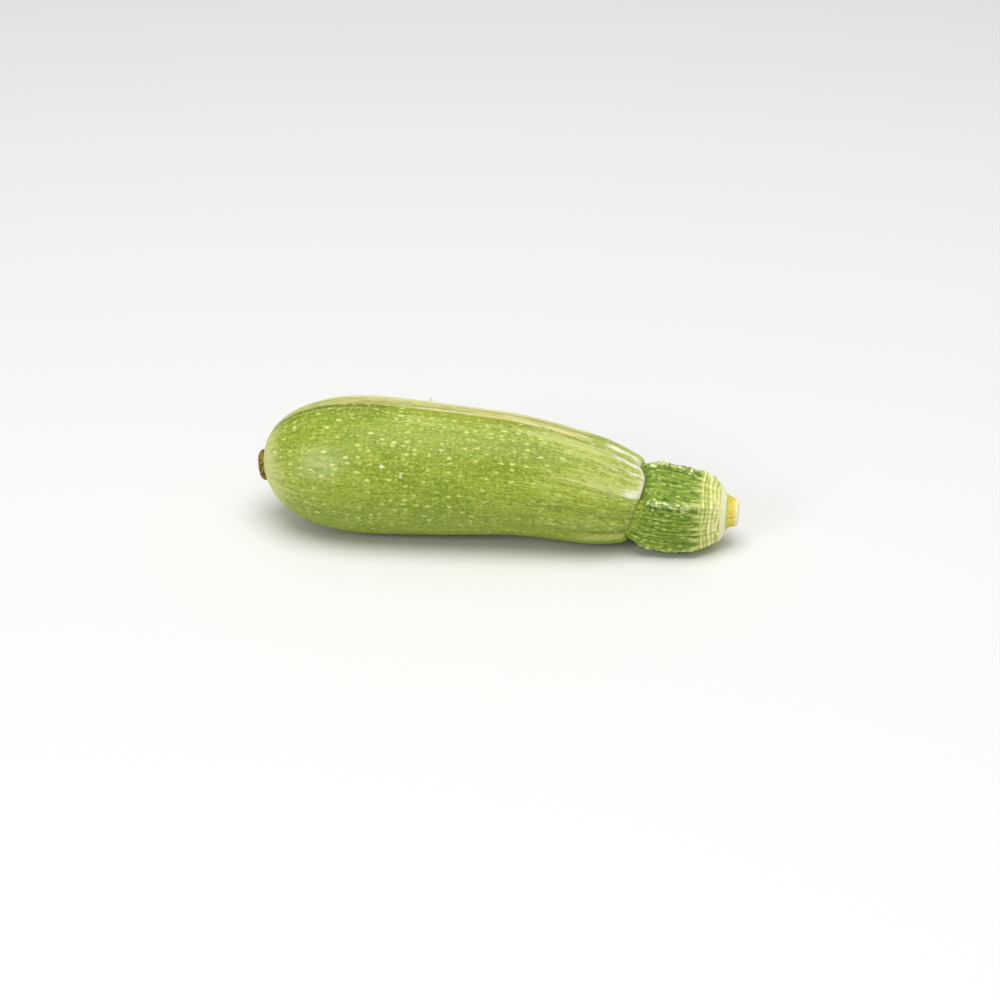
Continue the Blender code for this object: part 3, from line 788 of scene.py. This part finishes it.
# Greens of the stalk, then the pale end and its rings, then the stub
DULL_GREEN, STALK_GREEN = (0.172, 0.300, 0.019), (0.370, 0.485, 0.056)
FURROW_GREEN, LOBE_GREEN = (0.085, 0.165, 0.010), (0.280, 0.350, 0.028)
PIT, DASH = (0.055, 0.120, 0.008), (0.580, 0.670, 0.180)
UNDER_RIDGE, FOOT_SHADE = (0.050, 0.125, 0.010), (0.150, 0.170, 0.016)
FINE_SHADE, SCUFFED_AND_LIT = (0.090, 0.175, 0.010), (0.780, 0.810, 0.430)
END_GROUND, RING_GREEN = (0.780, 0.770, 0.270), (0.330, 0.420, 0.048)
RING_CREAM, END_CREAM = (0.950, 0.925, 0.450), (0.960, 0.930, 0.620)
STUB_TAN, STUB_STRAW = (0.640, 0.460, 0.045), (0.800, 0.690, 0.115)
SNAPPED_EDGE = (0.930, 0.910, 0.620)

material, tree, shader = new_skin("ridged_stalk_skin", 0.58, 0.30, 0.06)
flow_at = field(tree, "flow")
skin_at = field(tree, "unrolled")
crest_and_lit_at, pale_end_at, green_ring_at = parts(tree, field(tree, "shade"))
stub_at, edge_glow_at, hollow_at = parts(tree, field(tree, "ending"))
foot_at, pale_ring_at, beneath_at = parts(tree, field(tree, "edges"))
grown_in_at, end_band_at, near_ridge_at = parts(tree, field(tree, "soft"))

# Ground colour with long streaks, darker in the furrows, then dark pits and pale dashes in a loose net
wide = streaks(tree, flow_at, 0.0014, 6.0)
fine = streaks(tree, flow_at, 0.0005, 4.0)
mottle = streaks(tree, flow_at, 0.0012, 1.3)
pits = flecks(tree, skin_at, spacing=0.0015, stretch=1.9, size=0.38, amount=0.75, ragged=0.6)
dashes = flecks(tree, skin_at, spacing=0.0013, stretch=2.6, size=0.36, amount=0.85, ragged=0.7)
colour = laid_over(tree, ramped(tree, wide, 0.35, 0.65), DULL_GREEN, STALK_GREEN)
colour = laid_over(tree, ramped(tree, hollow_at, 0.5, 1.0, 0.0, 0.60), colour, FURROW_GREEN)
colour = laid_over(tree, times(tree, grown_in_at, 0.75), colour, LOBE_GREEN)
by_ridge = ramped(tree, near_ridge_at, 0.0, 1.0, 0.76, 1.0)
colour = laid_over(tree, times(tree, pits, by_ridge), colour, PIT)
mottled_shade = times(tree, beneath_at, ramped(tree, mottle, 0.40, 0.58, 0.1, 0.9))
colour = laid_over(tree, mottled_shade, colour, UNDER_RIDGE)
colour = laid_over(tree, times(tree, dashes, by_ridge), colour, DASH)
colour = laid_over(tree, ramped(tree, fine, 0.45, 0.30, 0.0, 0.6), colour, FINE_SHADE)

# Scuffed crests with painted highlight, in clumps, the pale ringed end and the stub
clumps = flecks(tree, skin_at, spacing=0.0012, stretch=1.5, size=0.60, amount=0.90, ragged=0.8)
crest_and_lit_share = times(tree, ramped(tree, crest_and_lit_at, 0.10, 0.50), plus(tree, clumps, times(tree, fine, 0.3)))
colour = laid_over(tree, times(tree, crest_and_lit_share, 0.92), colour, SCUFFED_AND_LIT)
colour = laid_over(tree, pale_end_at, colour, END_GROUND)
streaky_green = times(tree, green_ring_at, ramped(tree, wide, 0.3, 0.6, 0.6, 1.0))
colour = laid_over(tree, streaky_green, colour, RING_GREEN)
colour = laid_over(tree, times(tree, pale_ring_at, 0.85), colour, RING_CREAM)
colour = laid_over(tree, times(tree, end_band_at, 0.90), colour, END_CREAM)
colour = laid_over(tree, times(tree, foot_at, 0.8), colour, FOOT_SHADE)
colour = laid_over(tree, stub_at, colour, laid_over(tree, ramped(tree, mottle, 0.34, 0.66), STUB_TAN, STUB_STRAW))
colour = laid_over(tree, times(tree, edge_glow_at, 0.95), colour, SNAPPED_EDGE)
raised = plus(tree, times(tree, dashes, 0.6), fine)
bump = add_node(tree, "Bump", {"Height": raised, "Strength": 0.6, "Distance": 0.00022}).outputs[0]
fill(tree, shader, {"Base Color": colour, "Normal": bump})
stem.data.materials.append(material)

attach(stem, "root")
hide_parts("stem")


# Blossom scar. The flower fell from here and left a low corky button, grown fast to the fruit: dished, dry and
# finely pleated from its middle, with a rounded edge of ten shallow notches.

SCAR_RADIUS, SCAR_PROUD, SCAR_EDGE, SCAR_DISH = 0.0064, 0.0020, 0.0004, 0.0006
SCAR_NOTCHES, NOTCH_DEPTH, UNEVEN_EDGE = 10, 0.035, 0.022
SCAR_PLEAT, SCAR_CRUMB, SCAR_FIBRE = 0.00014, 0.00007, 0.00008
SCAR_SIDES, SCAR_RINGS = 240, 110
back = tip_station - 0.0001
front = -SCAR_PROUD
scar_outline = through((
    (front + SCAR_DISH, 0.0), (front + 0.4 * SCAR_DISH, 0.5 * SCAR_RADIUS), (front, 0.80 * SCAR_RADIUS),
    (front + SCAR_EDGE, 0.95 * SCAR_RADIUS), (0.5 * (back + front), SCAR_RADIUS), (back, 0.97 * SCAR_RADIUS),
), 60)
station, radius = even_rings(scar_outline[:, 0], np.clip(scar_outline[:, 1], 0.0, SCAR_RADIUS), SCAR_RINGS)
station = np.concatenate((np.maximum(station, front), np.full(inward.shape, back)))
radius = np.concatenate((radius, radius[-1] * inward))
radius[0] = 0.0
angle = np.linspace(0.0, 2.0 * math.pi, SCAR_SIDES, endpoint=False)
s, r, a = station[:, None], radius[:, None], angle[None, :]
share = r / SCAR_RADIUS
notch = NOTCH_DEPTH * share**3 * np.abs(np.cos(SCAR_NOTCHES / 2.0 * a))
notch += UNEVEN_EDGE * share**3 * (1.0 + np.tanh(ripples(one_ring, angle, 54, (3, 23), 1.0)[0]))
on_face = smooth_step((0.0 - s) / 0.0012)
pleat = ripples(radius, angle, 51, (14, 40), 0.012)
crumb = ripples(radius, angle, 52, (4, 60), 0.0012)
sunk = on_face * share * (SCAR_PLEAT * (1.0 + np.tanh(pleat)) + SCAR_CRUMB * (1.0 + np.tanh(crumb)))
r_formed = r * (1.0 - notch) + SCAR_FIBRE * (ripples(station, angle, 53, (8, 30), 0.002) - 1.0) * share
scar_points = about_the_axis(s + sunk, r_formed, a)

# Its colour: deep in the pleats, dark at the edge, and tan low down
deep = np.clip(sunk / 0.0004, 0.0, 1.0)
outer_edge = smooth_step((share - 0.75) / 0.25)
low_side = smooth_step(-0.35 - 1.3 * np.sin(a))
scar = closed_skin(
    "marrow_blossom_scar", scar_points,
    flow=np.stack(np.broadcast_arrays(radius[:, None] + s, 0.004 * np.cos(a), 0.004 * np.sin(a)), axis=-1),
    shade=three(deep, outer_edge, low_side),
)

CORK_BROWN, CORK_TAN = (0.300, 0.170, 0.030), (0.600, 0.400, 0.120)
PLEAT_BROWN, LOW_TAN = (0.150, 0.080, 0.016), (0.480, 0.250, 0.060)
EDGE_DARK, EDGE_OLIVE = (0.085, 0.065, 0.008), (0.260, 0.200, 0.040)
material, tree, shader = new_skin("dry_cork", 0.88, 0.15)
deep_at, outer_edge_at, low_side_at = parts(tree, field(tree, "shade"))
mottle = streaks(tree, field(tree, "flow"), 0.0007, 1.4)
colour = laid_over(tree, ramped(tree, mottle, 0.38, 0.60), CORK_BROWN, CORK_TAN)
colour = laid_over(tree, times(tree, deep_at, 0.65), colour, PLEAT_BROWN)
edge = laid_over(tree, ramped(tree, mottle, 0.40, 0.60), EDGE_DARK, EDGE_OLIVE)
colour = laid_over(tree, times(tree, outer_edge_at, 0.85), colour, edge)
colour = laid_over(tree, times(tree, low_side_at, 0.55), colour, LOW_TAN)
bump = add_node(tree, "Bump", {"Height": mottle, "Strength": 0.7, "Distance": 0.0003}).outputs[0]
fill(tree, shader, {"Base Color": colour, "Normal": bump})
scar.data.materials.append(material)

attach(scar, "root")
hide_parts("blossom_scar")


# Studio. A pale floor, one large soft light high overhead, a weaker one low on the left front, and the camera at
# the photograph's viewing angle, as far off and as wide as sets the marrow on the photograph's own place.

bpy.ops.mesh.primitive_plane_add(size=60.0)
floor = bpy.context.object
floor.name = "floor"
material, tree, shader = new_skin("pale_floor", 0.75, 0.2)
paper = add_node(tree, "TexNoise", {"Scale": 3.0, "Detail": 3.0}).outputs[0]
PAPER_GREY, PAPER_WHITE = (0.80, 0.80, 0.79), (0.82, 0.82, 0.81)
fill(tree, shader, {"Base Color": laid_over(tree, paper, PAPER_GREY, PAPER_WHITE)})
floor.data.materials.append(material)


def point_at(thing, place, aim):
    """Stands a light or camera at place, looking at aim, level with the ground."""
    thing.location = place
    thing.rotation_euler = (Vector(aim) - Vector(place)).to_track_quat("-Z", "Y").to_euler()


def soft_light(name, place, aim, width, power, colour):
    lamp = bpy.data.lights.new(name, "AREA")
    lamp.shape = "DISK"
    lamp.size = width
    lamp.energy = power
    lamp.color = colour
    holder = bpy.data.objects.new(name, lamp)
    bpy.context.scene.collection.objects.link(holder)
    point_at(holder, place, aim)


soft_light("key", (0.10, -0.40, 2.00), (0.0, 0.0, 0.02), 1.80, 35.0, (1.0, 0.985, 0.96))
soft_light("fill", (-1.20, -1.70, 1.10), (0.0, 0.0, 0.02), 0.80, 11.0, (0.97, 0.985, 1.0))
world = bpy.data.worlds.new("studio")
world.use_nodes = True
sky = world.node_tree.nodes["Background"]
fill(world.node_tree, sky, {"Color": (0.95, 0.97, 1.0), "Strength": 0.44})
bpy.context.scene.world = world
bpy.context.scene.view_settings.view_transform = "Standard"

AZIMUTH, ELEVATION, CAMERA_DISTANCE = math.radians(8.0), math.radians(28.0), 0.90
VIEW_WIDTH = 0.3895
AIM = (0.0021, -0.0040, 0.0164)
camera_data = bpy.data.cameras.new("camera")
camera_data.lens = camera_data.sensor_width * CAMERA_DISTANCE / VIEW_WIDTH
camera_data.clip_start, camera_data.clip_end = 0.01, 20.0
camera = bpy.data.objects.new("camera", camera_data)
bpy.context.scene.collection.objects.link(camera)
level = math.cos(ELEVATION)
back_off = (math.sin(AZIMUTH) * level, -math.cos(AZIMUTH) * level, math.sin(ELEVATION))
point_at(camera, [at + CAMERA_DISTANCE * way for at, way in zip(AIM, back_off)], AIM)
bpy.context.scene.camera = camera
